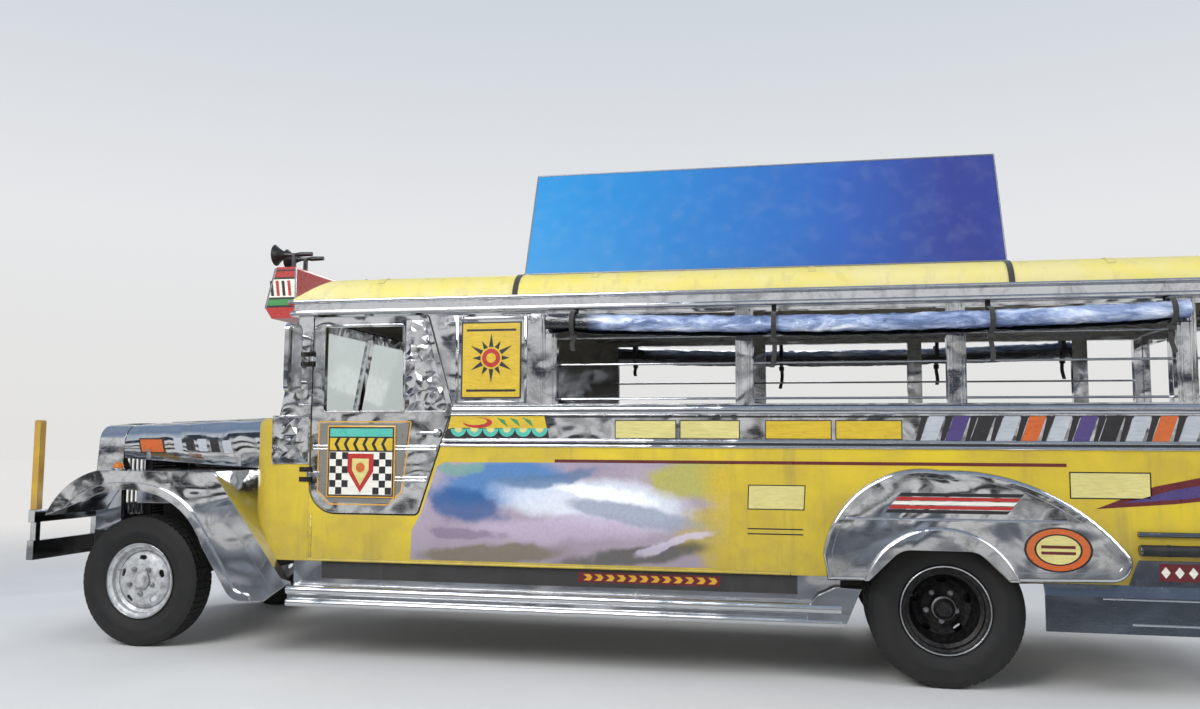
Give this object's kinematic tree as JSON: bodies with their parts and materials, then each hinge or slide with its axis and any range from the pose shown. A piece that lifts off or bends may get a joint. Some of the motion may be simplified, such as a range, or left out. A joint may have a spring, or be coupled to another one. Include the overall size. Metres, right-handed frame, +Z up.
{
  "type": "jeepney",
  "caption": "Long-bodied passenger vehicle with open side windows, a rear entrance, two front doors, a roof sign and twin rear wheels, for carrying seated passengers.",
  "frame": {"origin": "on the ground, halfway along the vehicle and on its centre plane", "axes": "+X forward, +Y to the left, +Z up"},
  "size_m": [6.9, 2.3, 2.7705],
  "materials": {
    "frame_paint": "worn black chassis paint",
    "yellow_paint": "grimy yellow enamel",
    "bright_metal": "polished stainless sheet",
    "tyre_rubber": "dusty",
    "wheel_paint": "worn silver paint",
    "engine_iron": "oily",
    "tank_paint": "satin black",
    "hinge_steel": "blackened",
    "seat_vinyl": "coated cloth, worn",
    "lamp_red": "clear red",
    "dark_plastic": "matt",
    "headboard_paint": "gloss enamel",
    "sign_paint": "printed sheet",
    "curtain_plastic": "coated sheet",
    "strap_web": "woven strap",
    "clear_glass": "clear"
  },
  "bodies": {
    "body": {"bench_frames": "frame_paint", "bench_pads": "seat_vinyl", "cant_rail": "bright_metal", "chassis_frame": "frame_paint", "cowl": "yellow_paint", "dashboard": "dark_plastic", "engine_block": "engine_iron", "exhaust": "engine_iron", "floor": "yellow_paint", "front_axle": "frame_paint", "front_bumper": "bright_metal", "front_fender_left": "bright_metal", "front_fender_right": "bright_metal", "fuel_tank": "tank_paint", "grab_rails": "bright_metal", "grille": "bright_metal", "headboard": "headboard_paint", "headlamp_glass": "clear_glass", "headlamps": "bright_metal", "hinges": "hinge_steel", "leaf_springs": "frame_paint", "marker_posts": "yellow_paint", "mirrors": "bright_metal", "propeller_shaft": "frame_paint", "rear_axle": "frame_paint", "rear_bumper": "bright_metal", "rear_fenders": "bright_metal", "rear_frame": "bright_metal", "rear_skirts": "bright_metal", "rolled_curtains": "curtain_plastic", "roof": "yellow_paint", "roof_horns": "dark_plastic", "running_boards": "bright_metal", "seat_cushions": "seat_vinyl", "seat_frames": "frame_paint", "side_panel_left": "yellow_paint", "side_panel_right": "yellow_paint", "sign_boards": "sign_paint", "sign_frame": "frame_paint", "steering_wheel": "dark_plastic", "straps": "strap_web", "tail_lamps": "lamp_red", "window_bars": "bright_metal", "window_frame_left": "bright_metal", "window_frame_right": "bright_metal", "windshield_frame": "bright_metal", "windshield_glass": "clear_glass"},
    "knuckle_left": {"knuckle_left": "frame_paint"},
    "knuckle_right": {"knuckle_right": "frame_paint"},
    "wheel_front_left": {"wheel_front_left": "wheel_paint", "tyre_front_left": "tyre_rubber"},
    "wheel_front_right": {"wheel_front_right": "wheel_paint", "tyre_front_right": "tyre_rubber"},
    "wheels_rear_left": {"wheels_rear_left": "wheel_paint", "tyres_rear_left": "tyre_rubber"},
    "wheels_rear_right": {"wheels_rear_right": "wheel_paint", "tyres_rear_right": "tyre_rubber"},
    "door_left": {"door_left": "bright_metal"},
    "door_right": {"door_right": "bright_metal"},
    "hood": {"hood": "bright_metal"}
  },
  "joints": [
    {"name": "steer_left", "type": "hinge", "parent": "body", "child": "knuckle_left", "pos_m": [2.77, 0.6, 0.37], "axis": [0, 0, 1], "range_deg": [-30, 30]},
    {"name": "spin_front_left", "type": "hinge", "parent": "knuckle_left", "child": "wheel_front_left", "pos_m": [2.77, 0.745, 0.37], "axis": [0, 1, 0], "continuous": true},
    {"name": "spin_rear_left", "type": "hinge", "parent": "body", "child": "wheels_rear_left", "pos_m": [-1.63, 0.67, 0.37], "axis": [0, 1, 0], "continuous": true},
    {"name": "door_left", "type": "hinge", "parent": "body", "child": "door_left", "pos_m": [1.676, 0.942, 1.3], "axis": [0, 0, -1], "range_deg": [0, 70]},
    {"name": "steer_right", "type": "hinge", "parent": "body", "child": "knuckle_right", "pos_m": [2.77, -0.6, 0.37], "axis": [0, 0, 1], "range_deg": [-30, 30]},
    {"name": "spin_front_right", "type": "hinge", "parent": "knuckle_right", "child": "wheel_front_right", "pos_m": [2.77, -0.745, 0.37], "axis": [0, 1, 0], "continuous": true},
    {"name": "spin_rear_right", "type": "hinge", "parent": "body", "child": "wheels_rear_right", "pos_m": [-1.63, -0.67, 0.37], "axis": [0, 1, 0], "continuous": true},
    {"name": "door_right", "type": "hinge", "parent": "body", "child": "door_right", "pos_m": [1.676, -0.942, 1.3], "axis": [0, 0, 1], "range_deg": [0, 70]},
    {"name": "hood", "type": "hinge", "parent": "body", "child": "hood", "pos_m": [2.104, 0, 1.332], "axis": [0, -1, 0], "range_deg": [0, 48]}
  ],
  "couplings": [
    {"joint": "steer_right", "follows": "steer_left", "ratio": 1}
  ]
}
